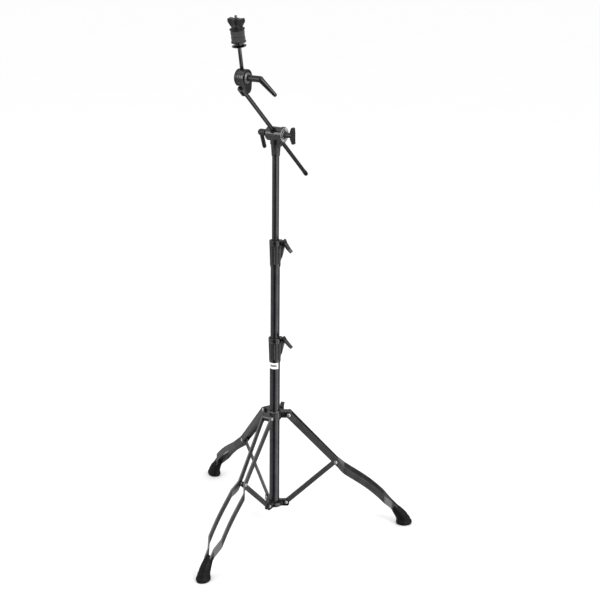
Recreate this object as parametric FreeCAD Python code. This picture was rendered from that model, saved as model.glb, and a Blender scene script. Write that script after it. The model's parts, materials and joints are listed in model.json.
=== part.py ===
import FreeCAD, Part

import math
import os

from FreeCAD import Placement, Rotation, Vector

# Boom cymbal stand with double-braced legs, in millimetres, +Z up.
# Everything is drawn about the column's axis, with leg A along +X and the soles at z = 0.
# The export moves it all so that the origin is the middle of the bounding box's base.

# ---- driving dimensions ----
RUNNING_FIT = 0.05  # radial clearance of a shaft in its hole
GAP = 0.3  # space between pieces that move past each other

TUBE_WALL = 1.2
LOWER_TUBE_R = 14.3
MIDDLE_TUBE_R = 12.7
TOP_TUBE_R = 9.525
LOWER_TUBE_BOTTOM = 60.0
MIDDLE_TUBE_BOTTOM = 340.0
TOP_TUBE_Z = (625.0, 1104.0)
LABEL_Z = (484.0, 502.5)
LABEL_THICK = 0.2

LOWER_CLAMP_Z = (503.0, 573.0)
UPPER_CLAMP_Z = (780.0, 853.0)
CLAMP_SEAT = 40.0  # how deep the outer tube stands in the casting
CLAMP_EAR_ANGLE = 30.0
CLAMP_EAR_HALF = 8.0
CLAMP_BOSS = 12.0  # from the ears' middle to the wing bolt's seat
LOWER_SCREW_Z = 564.0
UPPER_SCREW_Z = 841.0
CLAMP_SCREW_R = 3.0
LOWER_WING_ROLL = 36.0  # how far the clamp's wings lean from upright
UPPER_WING_ROLL = 31.0
BUSH_LIP = 2.6  # how far the bush stands out of the casting
WING_HALF_THICK = 4.6
CLAMP_WING_SPAN = 23.0

LEG_ANGLES = {"a": 0.0, "b": -120.0, "c": 120.0}
LEG_TOP = (40.0, 345.0)  # (distance from the axis, height) of the pivot on the sliding collar
LEG_MID = (175.0, 198.0)  # rivet that joins leg and strut
LEG_KNEE = (196.0, 179.0)  # where the bars have spread and the lower leg turns outward
LEG_BEND = (281.0, 123.0)  # middle of the lower leg's arch
LEG_END = (353.0, 49.0)  # end of the leg's bars, inside the foot
STRUT_FOOT = (34.5, 70.0)  # pivot on the fixed hub
LEG_BAR_WIDTH = 17.0
LEG_BAR_THICK = 4.0
LEG_TOP_OFFSET = 13.3  # from the leg's middle plane to each bar's, at the collar
LEG_MID_OFFSET = 9.5  # the same at the strut's rivet
STRUT_WIDTH = 15.0
STRUT_THICK = 3.0
RIVET_R = 3.0
HUB_RIVET_R = 2.5
RIVET_HEAD_HEIGHT = 2.0
COLLAR_BOLT_ANGLE = 60.0
COLLAR_BOSS = 27.0  # from the axis to the collar bolt's seat
COLLAR_WING_SPAN = 19.0
HUB_LUG_HALF = 6.8
SPACER_R = 7.0

BOOM_CENTRE_Z = 1144.4
BOOM_SIDE = Vector(0.848, -0.53, 0).normalize()  # the clamp's axis, toward its wing nut
BOOM_TILT = 49.0  # boom rod from vertical
BOOM_ROD_R = 5.4
BOOM_TAIL = -208.0  # along the rod from the clamp's centre
BOOM_HEAD = 212.0
BOOM_TILT_RANGE = (-22.0, 50.0)
YOKE_BOTTOM_Z = 1085.0
BARREL_R = 19.0
BARREL_SIDES = (-25.0, 19.0)
CHEEK_R = 21.0
CHEEK_END = 25.5
RATCHET_R = 19.5
RATCHET_END = 28.0
BOOM_BUSH_R = 8.5
BOOM_BOLT_R = 4.0
ROD_CAP_WALL = 0.5

TILTER_AHEAD = 157.0  # the tilter's centre from the column's axis
TILTER_Z = 1312.5
TILTER_R = 22.0
TILTER_SEAM = 5.5  # sideways place of the joint between the two halves
TILTER_HALF = 14.0
TILTER_LOBE_R = 14.0
TILTER_PLATE_R = 14.0
TILTER_PLATE = 1.5
TILTER_BOLT_R = 4.0

CYMBAL_LEAN = 11.5  # cymbal post from vertical
POST_R = 4.75
THREAD_R = 4.0
THREAD_BORE = 4.5
SEAT_LOW = 80.0  # heights on the post, from the tilter's centre
SEAT_TOP = 94.0
FELT_HEIGHT = 15.0
FELT_R = 18.0
STACK_GAP = 0.1
WASHER_R = 19.3
WASHER_HEIGHT = 6.0
NUT_HEIGHT = 22.5
POST_TIP_R = 3.3  # plain end of the post, at the thread's core
POST_TIP = 6.0
POST_TOP = 159.5

UP = Vector(0, 0, 1)
ZERO = Vector(0, 0, 0)
BOOM_AHEAD = BOOM_SIDE.cross(UP)
BOOM_CENTRE = Vector(0, 0, BOOM_CENTRE_Z)
CHEEK_SIDE = BARREL_SIDES[1] + GAP
TILTER_CENTRE = Vector(0, 0, TILTER_Z) + BOOM_AHEAD * TILTER_AHEAD


# ---- drawing helpers ----
def polar(radius, angle, z=0.0):
    """Point at a distance from the Z axis, at an angle from +X."""
    turn = math.radians(angle)
    return Vector(radius * math.cos(turn), radius * math.sin(turn), z)


def leaning(angle):
    """Unit vector that leans from vertical toward the boom's head."""
    turn = math.radians(angle)
    return UP * math.cos(turn) + BOOM_AHEAD * math.sin(turn)


def boom_point(ahead, side, up):
    """Point given from the boom clamp's centre."""
    return BOOM_CENTRE + BOOM_AHEAD * ahead + BOOM_SIDE * side + UP * up


def rod(radius, start, end):
    """Round bar between two points."""
    line = end - start
    return Part.makeCylinder(radius, line.Length, start, line)


def pipe(outer, inner, start, end):
    """Round tube between two points."""
    return rod(outer, start, end).cut(rod(inner, start, end))


def cone(start_r, end_r, start, end):
    """Tapered round bar between two points."""
    line = end - start
    return Part.makeCone(start_r, end_r, line.Length, start, line)


def ball(radius, centre):
    return Part.makeSphere(radius, centre)


def turned(outline):
    """Solid of revolution about Z from an (r, z) outline."""
    points = [Vector(r, 0, z) for r, z in outline]
    face = Part.Face(Part.makePolygon(points + points[:1]))
    return face.revolve(ZERO, UP, 360)


def rounded_wire(corners):
    """Closed wire in XY through (x, y, radius) corners, each rounded by a tangent arc."""
    stops = []
    count = len(corners)
    for index, (x, y, radius) in enumerate(corners):
        corner = Vector(x, y, 0)
        back = Vector(*corners[index - 1][:2], 0) - corner
        ahead = Vector(*corners[(index + 1) % count][:2], 0) - corner
        if radius == 0:
            stops.append((corner,))
            continue
        half = back.getAngle(ahead) / 2
        back.normalize()
        ahead.normalize()
        inward = (back + ahead).normalize()
        reach = radius / math.tan(half)
        middle = corner + inward * (radius / math.sin(half) - radius)
        stops.append((corner + back * reach, middle, corner + ahead * reach))
    edges = []
    for index, stop in enumerate(stops):
        if len(stop) == 3:
            edges.append(Part.Arc(*stop).toShape())
        following = stops[(index + 1) % count][0]
        if stop[-1].distanceToPoint(following) > 1e-4:
            edges.append(Part.makeLine(stop[-1], following))
    return Part.Wire(edges)


def plate(corners, low, high):
    """Prism on an outline in XY, from z = low to z = high."""
    face = Part.Face(rounded_wire(corners))
    face.translate(Vector(0, 0, low))
    return face.extrude(Vector(0, 0, high - low))


def upright(corners, half_width):
    """Prism on an outline in (x, z), centred on y = 0."""
    shape = plate(corners, -half_width, half_width)
    shape.rotate(ZERO, Vector(1, 0, 0), 90)
    return shape


def strip(path, half_width, bend_radii, end_radius):
    """Corners of a strip of constant width along a bent line."""
    points = [Vector(x, y, 0) for x, y in path]
    left, right = [], []
    for index, point in enumerate(points):
        incoming = (point - points[index - 1]).normalize() if index else None
        outgoing = (points[index + 1] - point).normalize() if index + 1 < len(points) else None
        first = incoming or outgoing
        second = outgoing or incoming
        normal = UP.cross(first) + UP.cross(second)
        offset = normal * (half_width / (1 + first.dot(second)))
        turn = first.cross(second).z
        radius = bend_radii[index - 1] if incoming and outgoing else end_radius
        inner, outer = radius, radius
        if incoming and outgoing:
            inner, outer = radius - half_width, radius + half_width
        left_radius, right_radius = (inner, outer) if turn > 0 else (outer, inner)
        left.append((*(point + offset)[:2], left_radius))
        right.append((*(point - offset)[:2], right_radius))
    return left + right[::-1]


def beyond(start, end, distance):
    """Point past the end of a line, in a plane."""
    line = Vector(end[0] - start[0], end[1] - start[1], 0).normalize() * distance
    return (end[0] + line.x, end[1] + line.y)


def placed(shape, origin, x_axis, z_axis):
    """Moves a shape drawn at the origin to a new origin and axes."""
    moved = shape.copy()
    frame = Placement(origin, Rotation(x_axis, z_axis.cross(x_axis), z_axis, "ZXY"))
    moved.Placement = frame.multiply(shape.Placement)
    return moved


def around(shape, angle):
    """Copy of a shape turned about the column's axis."""
    turned_copy = shape.copy()
    turned_copy.rotate(ZERO, UP, angle)
    return turned_copy


def around_column(point, angle):
    """A point turned about the column's axis."""
    return Rotation(UP, angle).multVec(point)


def cross_pin(radius, place, reach):
    """Pin along Y through an (x, z) place."""
    return rod(radius, Vector(place[0], -reach, place[1]), Vector(place[0], reach, place[1]))


# ---- column ----
def column_tube(outer, low, high):
    return pipe(outer, outer - TUBE_WALL, Vector(0, 0, low), Vector(0, 0, high))


def lower_tube_cap():
    """Plug in the bottom of the lower tube."""
    bottom = LOWER_TUBE_BOTTOM
    flange = LOWER_TUBE_R - 1
    bore = LOWER_TUBE_R - TUBE_WALL
    return turned([(0, bottom - 4), (flange - 3, bottom - 4), (flange, bottom - 2), (flange, bottom),
                   (bore, bottom), (bore, bottom + 14), (0, bottom + 14)])


def label_band():
    """Plain paper band that wraps the front of the lower tube."""
    low, high = LABEL_Z
    band = pipe(LOWER_TUBE_R + LABEL_THICK, LOWER_TUBE_R, Vector(0, 0, low), Vector(0, 0, high))
    window = plate([(0, 0, 0), (*polar(60, -48)[:2], 0), (*polar(60, -124)[:2], 0),
                    (*polar(60, -200)[:2], 0)], low, high)
    return band.common(window)


# ---- telescope clamps; each takes its tube's radius and its (bottom, top) ----
def clamp_screw(tube_r, height):
    """Point on a clamp's screw, drawn with the ears along +X."""
    return Vector(tube_r + 7.7, 0, height)


def bush_outer(tube_r):
    return tube_r - 0.1


def clamp_sleeve(tube_r, bottom, top):
    """Tapered sleeve with flutes cut down it, clear of the ears."""
    low_r = tube_r + 2.0
    high_r = tube_r + 4.0
    sleeve = turned([(0, bottom), (low_r - 1.2, bottom), (low_r, bottom + 3), (high_r, top - 6),
                     (high_r, top - 1), (high_r - 0.8, top), (0, top)])
    flute_r = 2.6
    flute_off = 1.2
    for turn in range(60, 331, 30):
        start = polar(low_r + flute_off, turn, bottom + 8)
        end = polar(high_r + flute_off, turn, top - 14)
        sleeve = sleeve.cut(rod(flute_r, start, end))
    return sleeve


def clamp_casting(tube_r, bottom, top, screw_z):
    """Fluted split sleeve with two ears that a screw pulls together."""
    screw = clamp_screw(tube_r, screw_z)
    reach = screw.x + 5
    ears = upright([(5, bottom + 14, 0), (tube_r + 2, bottom + 14, 0), (reach, screw_z - 11, 12),
                    (reach, top - 2, 4), (5, top - 2, 0)], CLAMP_EAR_HALF)
    boss = rod(6.0, screw - Vector(0, CLAMP_BOSS, 0), screw)
    casting = clamp_sleeve(tube_r, bottom, top).fuse(ears).fuse(boss)
    casting = casting.cut(rod(tube_r, Vector(0, 0, bottom), Vector(0, 0, bottom + CLAMP_SEAT)))
    casting = casting.cut(rod(bush_outer(tube_r) + RUNNING_FIT, Vector(0, 0, bottom), Vector(0, 0, top)))
    slot = Part.makeBox(40, 2, top - bottom, Vector(0, -1, bottom + 24))
    hole = rod(CLAMP_SCREW_R + RUNNING_FIT, screw - Vector(0, 20, 0), screw + Vector(0, 20, 0))
    return around(casting.cut(slot).cut(hole).removeSplitter(), CLAMP_EAR_ANGLE)


def clamp_bush(tube_r, inner_tube_r, bottom, top):
    """Nylon bush that the inner tube slides and turns in, with a lip above the casting."""
    low = bottom + CLAMP_SEAT + GAP
    outer = bush_outer(tube_r)
    bore = inner_tube_r + RUNNING_FIT
    lip = inner_tube_r + 1.4
    return turned([(bore, low), (outer, low), (outer, top), (lip, top), (lip, top + BUSH_LIP),
                   (bore, top + BUSH_LIP)])


def clamp_nut(tube_r, screw_z):
    """Square nut on the far ear of a clamp."""
    centre = clamp_screw(tube_r, screw_z)
    half = 5.0
    nut = Part.makeBox(2 * half, 5, 2 * half, centre + Vector(-half, CLAMP_EAR_HALF, -half))
    hole = rod(CLAMP_SCREW_R + RUNNING_FIT, centre, centre + Vector(0, 20, 0))
    return around(nut.cut(hole), CLAMP_EAR_ANGLE)


def wing_bolt(shank_length, half_span):
    """Wing bolt along Z: the shank runs down from z = 0 and the wings curve upward."""
    shank = rod(CLAMP_SCREW_R, Vector(0, 0, -shank_length), ZERO)
    hub = cone(5.8, 5.2, ZERO, Vector(0, 0, 14))
    wings = upright([(-half_span, 17, 3), (-11, 7.5, 10), (11, 7.5, 10), (half_span, 17, 3),
                     (half_span - 1, 24, 2.4), (10, 18.5, 12), (-10, 18.5, 12), (1 - half_span, 24, 2.4)],
                    WING_HALF_THICK)
    return shank.fuse(hub).fuse(wings).removeSplitter()


def clamp_wing_bolt(tube_r, screw_z, roll):
    """Wing bolt of a telescope clamp, square to the ears."""
    outward = polar(1, CLAMP_EAR_ANGLE - 90)
    seat = around_column(clamp_screw(tube_r, screw_z), CLAMP_EAR_ANGLE) + outward * (CLAMP_BOSS + GAP)
    lean = math.radians(roll)
    span = UP * math.cos(lean) - UP.cross(outward) * math.sin(lean)
    return placed(wing_bolt(CLAMP_BOSS + CLAMP_EAR_HALF + 5, CLAMP_WING_SPAN), seat, span, outward)


# ---- tripod ----
def leg_collar():
    """Sliding collar with a lug for each leg and a boss for its wing bolt."""
    x, z = LEG_TOP
    collar = turned([(0, z - 15), (18, z - 15), (19, z - 13), (19, z + 10), (17.5, z + 12), (0, z + 12)])
    lug_half = LEG_TOP_OFFSET - LEG_BAR_THICK / 2 - GAP
    end = x + 8.5
    lug = upright([(10, z - 9, 0), (end, z - 9, 8.4), (end, z + 8.5, 8.4), (10, z + 8.5, 0)], lug_half)
    lug = lug.cut(cross_pin(RIVET_R, LEG_TOP, 20))
    for angle in LEG_ANGLES.values():
        collar = collar.fuse(around(lug, angle))
    collar = collar.fuse(rod(7.5, polar(10, COLLAR_BOLT_ANGLE, z), polar(COLLAR_BOSS, COLLAR_BOLT_ANGLE, z)))
    collar = collar.cut(rod(LOWER_TUBE_R + RUNNING_FIT, Vector(0, 0, z - 20), Vector(0, 0, z + 20)))
    hole = rod(CLAMP_SCREW_R + RUNNING_FIT, polar(12, COLLAR_BOLT_ANGLE, z), polar(30, COLLAR_BOLT_ANGLE, z))
    return collar.cut(hole).removeSplitter()


def collar_wing_bolt():
    """Radial wing bolt that locks the collar to the tube."""
    seat = polar(COLLAR_BOSS + GAP, COLLAR_BOLT_ANGLE, LEG_TOP[1])
    bolt = wing_bolt(COLLAR_BOSS - LOWER_TUBE_R, COLLAR_WING_SPAN)
    return placed(bolt, seat, UP, polar(1, COLLAR_BOLT_ANGLE))


def tripod_hub():
    """Fixed hub: a disc with three slotted lugs that stand proud of it."""
    x, z = STRUT_FOOT
    hub = turned([(0, z - 9), (22, z - 9), (24, z - 7), (24, z + 1), (22, z + 3), (0, z + 3)])
    end = x + 8.5
    lug = upright([(10, z - 11, 0), (end, z - 11, 6), (end, z + 7, 6), (10, z + 7, 0)], HUB_LUG_HALF)
    for angle in LEG_ANGLES.values():
        hub = hub.fuse(around(lug, angle))
    hub = hub.cut(rod(LOWER_TUBE_R, Vector(0, 0, z - 20), Vector(0, 0, z + 20)))
    half_slot = STRUT_THICK / 2 + GAP
    slot = Part.makeBox(40, 2 * half_slot, 40, Vector(22, -half_slot, z - 20))
    for angle in LEG_ANGLES.values():
        hub = hub.cut(around(slot, angle))
        hub = hub.cut(around(cross_pin(HUB_RIVET_R, STRUT_FOOT, HUB_LUG_HALF + 1), angle))
    return hub.removeSplitter()


def rivet(shank_r, place, half_length, head_r):
    """Rivet along Y with a low domed head at each end."""
    shape = cross_pin(shank_r, place, half_length)
    for side in (-1, 1):
        seat = Vector(place[0], side * half_length, place[1])
        shape = shape.fuse(cone(head_r, head_r - 1.8, seat, seat + Vector(0, side * RIVET_HEAD_HEIGHT, 0)))
    return shape


def three(shape):
    """One copy for each leg."""
    return Part.makeCompound([around(shape, angle) for angle in LEG_ANGLES.values()])


def collar_rivets():
    return three(rivet(RIVET_R, LEG_TOP, LEG_TOP_OFFSET + LEG_BAR_THICK / 2 + GAP, 5.2))


def hub_rivets():
    return three(rivet(HUB_RIVET_R, STRUT_FOOT, HUB_LUG_HALF, 4.4))


def leg_bars():
    """Two flat bars on edge that spread below the strut's rivet and close at the foot."""
    half = LEG_BAR_WIDTH / 2
    start = beyond(LEG_MID, LEG_TOP, half - 3)
    side_view = strip([start, LEG_KNEE, LEG_BEND, LEG_END], half, [40, 420], 6)
    plan = strip([(start[0] - 5, LEG_TOP_OFFSET), (LEG_TOP[0] + 8, LEG_TOP_OFFSET),
                  (LEG_MID[0] - 14, LEG_MID_OFFSET), (LEG_MID[0] + 7, LEG_MID_OFFSET),
                  (LEG_MID[0] + 26, 20.5), (317, 20), (339, 8.5), (LEG_END[0] + 12, 8)],
                 LEG_BAR_THICK / 2, [10, 10, 8, 8, 10, 10], 0)
    bar = upright(side_view, 40).common(plate(plan, 0, 400))
    bar = bar.cut(cross_pin(RIVET_R + RUNNING_FIT, LEG_TOP, 40)).cut(cross_pin(RIVET_R, LEG_MID, 40))
    return Part.makeCompound([bar, bar.mirror(ZERO, Vector(0, 1, 0))])


def leg_rivets():
    """A rivet in each bar, whose shank stops at the bar's inner face."""
    outer = LEG_MID_OFFSET + LEG_BAR_THICK / 2
    whole = rivet(RIVET_R, LEG_MID, outer, 5.2)
    inner = outer - LEG_BAR_THICK
    return whole.cut(Part.makeBox(20, 2 * inner, 20, Vector(LEG_MID[0] - 10, -inner, LEG_MID[1] - 10)))


def section(x, z, lean, along, across):
    """Elliptical section of a foot; its normal leans from straight down."""
    outline = Part.Ellipse(ZERO, max(along, across), min(along, across))
    wire = Part.Wire(outline.toShape())
    if across > along:
        wire.rotate(ZERO, UP, 90)
    wire.rotate(ZERO, Vector(0, 1, 0), -lean)
    wire.translate(Vector(x, 0, z))
    return wire


def leg_foot(bars):
    """Rubber boot with a flared sole, pocketed for the two bars."""
    boot = Part.makeLoft([section(346, 55, 50, 10.5, 11.5), section(361, 38, 30, 16.0, 14.5),
                          section(375.5, 18, 7, 22.8, 18.0)], True)
    rim = section(377.5, 6, 0, 23.0, 18.6)
    boot = boot.fuse(Part.makeLoft([section(375.5, 18, 7, 22.8, 18.0), rim], True))
    boot = boot.fuse(Part.makeLoft([rim, section(377, 0, 0, 20.5, 16.6)], True))
    return boot.cut(bars).removeSplitter()


def strut_bar():
    """Flat bar on edge from the hub up to the leg."""
    half = STRUT_WIDTH / 2
    path = [beyond(LEG_MID, STRUT_FOOT, half), beyond(STRUT_FOOT, LEG_MID, half)]
    bar = upright(strip(path, half, [], half - 0.05), STRUT_THICK / 2)
    return bar.cut(cross_pin(HUB_RIVET_R + RUNNING_FIT, STRUT_FOOT, STRUT_THICK))


def strut_bushes():
    """Two round spacers between the strut and the leg's bars."""
    both = cross_pin(SPACER_R, LEG_MID, LEG_MID_OFFSET - LEG_BAR_THICK / 2 - GAP)
    bar = Part.makeBox(20, STRUT_THICK, 20, Vector(LEG_MID[0] - 10, -STRUT_THICK / 2, LEG_MID[1] - 10))
    return both.cut(bar)


# ---- boom clamp on the top tube ----
def boom_yoke():
    """Neck on the top tube, with an arm up to the round cheek beside the barrel."""
    centre = BOOM_CENTRE_Z
    neck = turned([(0, YOKE_BOTTOM_Z), (10.8, YOKE_BOTTOM_Z), (11.3, YOKE_BOTTOM_Z + 3), (13, centre - 33),
                   (13, centre - 29), (15, centre - 27), (15, centre - 12), (0, centre - 12)])
    for turn in range(-4, 356, 45):
        neck = neck.cut(rod(2.4, polar(12.7, turn, YOKE_BOTTOM_Z + 6), polar(14.2, turn, centre - 36)))
    arm = plate([(0, -36, 0), (10, -36, 8), (CHEEK_END, -20, 10), (CHEEK_END, 0, 0), (0, 0, 0)], -11.5, 11.5)
    arm = placed(arm, BOOM_CENTRE, BOOM_SIDE, BOOM_SIDE.cross(UP))
    cheek = rod(CHEEK_R, boom_point(0, CHEEK_SIDE, 0), boom_point(0, CHEEK_END, 0))
    yoke = neck.fuse(arm).fuse(cheek)
    yoke = yoke.cut(rod(BARREL_R + GAP, boom_point(0, -40, 0), boom_point(0, CHEEK_SIDE, 0)))
    yoke = yoke.cut(rod(TOP_TUBE_R, Vector(0, 0, YOKE_BOTTOM_Z), Vector(0, 0, TOP_TUBE_Z[1])))
    yoke = yoke.cut(tail_slot())
    return yoke.cut(rod(BOOM_BOLT_R + RUNNING_FIT, boom_point(0, 0, 0), boom_point(0, 40, 0)))


def tail_slot():
    """Room behind the neck for the boom's tail at its steepest."""
    steepest = math.radians(BOOM_TILT + BOOM_TILT_RANGE[0])
    clear = (BOOM_ROD_R + 2 * GAP) / math.cos(steepest)
    top, bottom, back = 10, 42, 40
    half_width = BOOM_ROD_R + 2 * GAP
    corners = [(clear - top * math.tan(steepest), -top, 0), (clear - bottom * math.tan(steepest), -bottom, 0),
               (-back, -bottom, 0), (-back, -top, 0)]
    return placed(plate(corners, -half_width, half_width), BOOM_CENTRE, BOOM_AHEAD, BOOM_AHEAD.cross(UP))


def ratchet_plate():
    """Pale toothed plate on the cheek's outer face."""
    return pipe(RATCHET_R, BOOM_BOLT_R + RUNNING_FIT, boom_point(0, CHEEK_END, 0),
                boom_point(0, RATCHET_END, 0))


def boom_barrel():
    """Drum that the boom rod passes through."""
    left, right = BARREL_SIDES
    drum = rod(BARREL_R, boom_point(0, left + 3, 0), boom_point(0, right, 0))
    drum = drum.fuse(cone(BARREL_R - 3, BARREL_R, boom_point(0, left, 0), boom_point(0, left + 3, 0)))
    drum = drum.fuse(rod(9, boom_point(0, left - 3, 0), boom_point(0, left, 0)))
    reach = leaning(BOOM_TILT) * 30
    drum = drum.cut(rod(BOOM_BUSH_R + RUNNING_FIT, BOOM_CENTRE - reach, BOOM_CENTRE + reach))
    hole = rod(BOOM_BOLT_R + RUNNING_FIT, boom_point(0, left - 5, 0), boom_point(0, -BOOM_BUSH_R, 0))
    far_hole = rod(BOOM_BOLT_R + RUNNING_FIT, boom_point(0, BOOM_BUSH_R, 0), boom_point(0, right, 0))
    return drum.cut(hole).cut(far_hole).removeSplitter()


def boom_bush():
    """Sleeve that grips the rod inside the barrel."""
    line = leaning(BOOM_TILT)
    return pipe(BOOM_BUSH_R, BOOM_ROD_R + RUNNING_FIT, BOOM_CENTRE - line * 15.5, BOOM_CENTRE + line * 21)


def lever(axis, hub_r, seat, elbow, tip, grip_r, tip_r, bolt_r, bolt_end):
    """Clamp lever: bolt, round hub, ball elbow and a tapered grip with a round tip."""
    hub = rod(hub_r, seat, elbow).fuse(ball(hub_r, elbow))
    grip = cone(grip_r, tip_r, elbow, tip).fuse(ball(tip_r, tip))
    return rod(bolt_r, bolt_end, seat + axis).fuse(hub).fuse(grip).removeSplitter()


def boom_lever():
    """L-shaped lever that squeezes the rod's bush."""
    return lever(-BOOM_SIDE, 9.0, boom_point(0, -31, 0), boom_point(0, -46, 0),
                 boom_point(-11.7, -43, -39.5), 5.2, 5.6, BOOM_BOLT_R, boom_point(0, -9.5, 0))


def boom_wing_nut():
    """Wing nut that locks the boom's tilt."""
    bolt = rod(BOOM_BOLT_R, boom_point(0, 9.5, 0), boom_point(0, 42, 0))
    hub = cone(7.5, 6, boom_point(0, RATCHET_END + 2.5, 0), boom_point(0, 50, 0))
    wings = upright([(-22, 49.5, 3.5), (-10, 45, 10), (10, 46, 10), (23, 52, 3), (22, 59, 3), (9, 58, 12),
                     (-9, 58, 12), (-22, 57, 3.5)], 4.5)
    wings = placed(wings, BOOM_CENTRE, UP * -1, BOOM_SIDE)
    washer = rod(9.5, boom_point(0, RATCHET_END + GAP, 0), boom_point(0, RATCHET_END + 2.5, 0))
    return bolt.fuse(hub).fuse(wings).fuse(washer).removeSplitter()


# ---- boom rod and tilter ----
def tilter_point(ahead, side, up):
    """Point given from the tilter's centre."""
    return TILTER_CENTRE + BOOM_AHEAD * ahead + BOOM_SIDE * side + UP * up


def boom_rod():
    line = leaning(BOOM_TILT)
    return rod(BOOM_ROD_R, BOOM_CENTRE + line * BOOM_TAIL, BOOM_CENTRE + line * BOOM_HEAD)


def rod_end_cap():
    """Rubber cap on the boom's tail."""
    line = leaning(BOOM_TILT)
    end = BOOM_CENTRE + line * BOOM_TAIL
    outer = BOOM_ROD_R + ROD_CAP_WALL
    cap = rod(outer, end - line, end + line * 12)
    cap = cap.fuse(ball(outer, end - line).cut(rod(12, end, end + line * 20)))
    return cap.cut(boom_rod()).removeSplitter()


def tilter_cheek():
    """Round cheek that narrows to a lobe over the rod's socket, drawn with +Y downward."""
    low, high = TILTER_SEAM + GAP / 2, TILTER_HALF
    lobe = Vector(-5, 26, 0)
    lean = math.degrees(math.asin((TILTER_R - TILTER_LOBE_R) / lobe.Length))
    apart = Vector(lobe).normalize()
    corners = []
    for turn in (90 - lean, lean - 90):
        normal = Rotation(UP, turn).multVec(apart)
        corners.append((normal * TILTER_R, lobe + normal * TILTER_LOBE_R))
    outline = [*corners[0], *corners[1][::-1]]
    cheek = plate([(point.x, point.y, 0) for point in outline], low, high)
    cheek = cheek.fuse(rod(TILTER_R, UP * low, UP * high))
    cheek = cheek.fuse(rod(TILTER_LOBE_R, lobe + UP * low, lobe + UP * high))
    return placed(cheek, TILTER_CENTRE, BOOM_AHEAD, BOOM_SIDE)


def tilter_base():
    """Fixed half of the tilter: a round cheek and the socket for the boom rod."""
    line = leaning(BOOM_TILT)
    socket = rod(11, BOOM_CENTRE + line * (BOOM_HEAD - 16), BOOM_CENTRE + line * (BOOM_HEAD + 6))
    saddle = rod(TILTER_R + GAP, tilter_point(0, -30, 0), tilter_point(0, TILTER_SEAM + GAP / 2, 0))
    hole = rod(TILTER_BOLT_R + RUNNING_FIT, tilter_point(0, -20, 0), tilter_point(0, 20, 0))
    return socket.cut(saddle).fuse(tilter_cheek()).cut(hole).cut(boom_rod()).removeSplitter()


def tilter_plate():
    """Pale washer plate between the cheek and the lever."""
    return pipe(TILTER_PLATE_R, TILTER_BOLT_R + RUNNING_FIT, tilter_point(0, TILTER_HALF, 0),
                tilter_point(0, TILTER_HALF + TILTER_PLATE, 0))


def tilter_drum():
    """Turning half of the tilter, which carries the cymbal post."""
    drum = rod(TILTER_R, tilter_point(0, -TILTER_HALF + 2, 0), tilter_point(0, TILTER_SEAM - GAP / 2, 0))
    drum = drum.fuse(cone(TILTER_R - 2, TILTER_R, tilter_point(0, -TILTER_HALF, 0),
                          tilter_point(0, -TILTER_HALF + 2, 0)))
    hole = rod(TILTER_BOLT_R + RUNNING_FIT, tilter_point(0, -20, 0), tilter_point(0, 20, 0))
    return drum.cut(hole).cut(cymbal_post()).removeSplitter()


def tilter_lever():
    """Lever that locks the tilter, its grip flared outward."""
    return lever(BOOM_SIDE, 8.2, tilter_point(0, TILTER_HALF + TILTER_PLATE + GAP, 0), tilter_point(0, 52, 0),
                 tilter_point(-19, 83, -38.5), 7.8, 5.2, TILTER_BOLT_R, tilter_point(0, -TILTER_HALF, 0))


# ---- cymbal seat ----
def on_post(shape):
    """Places a shape drawn about Z onto the cymbal post."""
    return placed(shape, TILTER_CENTRE, BOOM_SIDE, leaning(CYMBAL_LEAN))


def cymbal_post():
    """Rod that stands in the drum, stepped down to its thread at the seat."""
    return on_post(turned([(0, 8), (POST_R, 8), (POST_R, SEAT_TOP - 4), (THREAD_R, SEAT_TOP - 4),
                           (THREAD_R, POST_TOP - POST_TIP), (POST_TIP_R, POST_TOP - POST_TIP),
                           (POST_TIP_R, POST_TOP - 1), (POST_TIP_R - 1, POST_TOP), (0, POST_TOP)]))


def cup_seat():
    """Flanged sleeve on the post, with a dished washer on top of it."""
    shape = turned([(0, SEAT_LOW), (17, SEAT_LOW), (18.5, SEAT_LOW + 1.2), (18.5, SEAT_LOW + 2.4),
                    (10, SEAT_LOW + 4.5), (9.5, SEAT_TOP - 4), (19, SEAT_TOP - 2), (19, SEAT_TOP),
                    (THREAD_R + 0.4, SEAT_TOP), (0, SEAT_TOP)])
    return on_post(shape).cut(cymbal_post())


def felt(bottom):
    """Felt washer."""
    return on_post(turned([(THREAD_BORE, bottom), (FELT_R, bottom), (FELT_R, bottom + FELT_HEIGHT),
                           (THREAD_BORE, bottom + FELT_HEIGHT)]))


def lower_felt_z():
    return SEAT_TOP + STACK_GAP


def upper_felt_z():
    return lower_felt_z() + FELT_HEIGHT + STACK_GAP


def washer_z():
    return upper_felt_z() + FELT_HEIGHT


def nut_z():
    return washer_z() + WASHER_HEIGHT + STACK_GAP


def cymbal_washer():
    """Stepped washer between the upper felt and the wing nut."""
    low = washer_z()
    high = low + WASHER_HEIGHT
    return on_post(turned([(THREAD_BORE, low), (WASHER_R, low), (WASHER_R, low + 2), (14, low + 3),
                           (14, high), (THREAD_BORE, high)]))


def cymbal_wing_nut():
    """Broad wing nut that flares toward its hollow top."""
    low = nut_z()
    high = low + NUT_HEIGHT
    hub = turned([(0, low), (14, low), (14, low + 3), (10, low + 7), (10, high - 2), (0, high - 2)])
    wings = upright([(-13, low, 2), (13, low, 2), (22, low + 13, 2.5), (22, high, 2.5),
                     (8, high - 1.8, 8), (-8, high - 1.8, 8), (-22, high, 2.5), (-22, low + 13, 2.5)], 6.5)
    hole = rod(THREAD_R + RUNNING_FIT, Vector(0, 0, low - 5), Vector(0, 0, low + 40))
    return on_post(hub.fuse(wings).cut(hole).removeSplitter())


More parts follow.
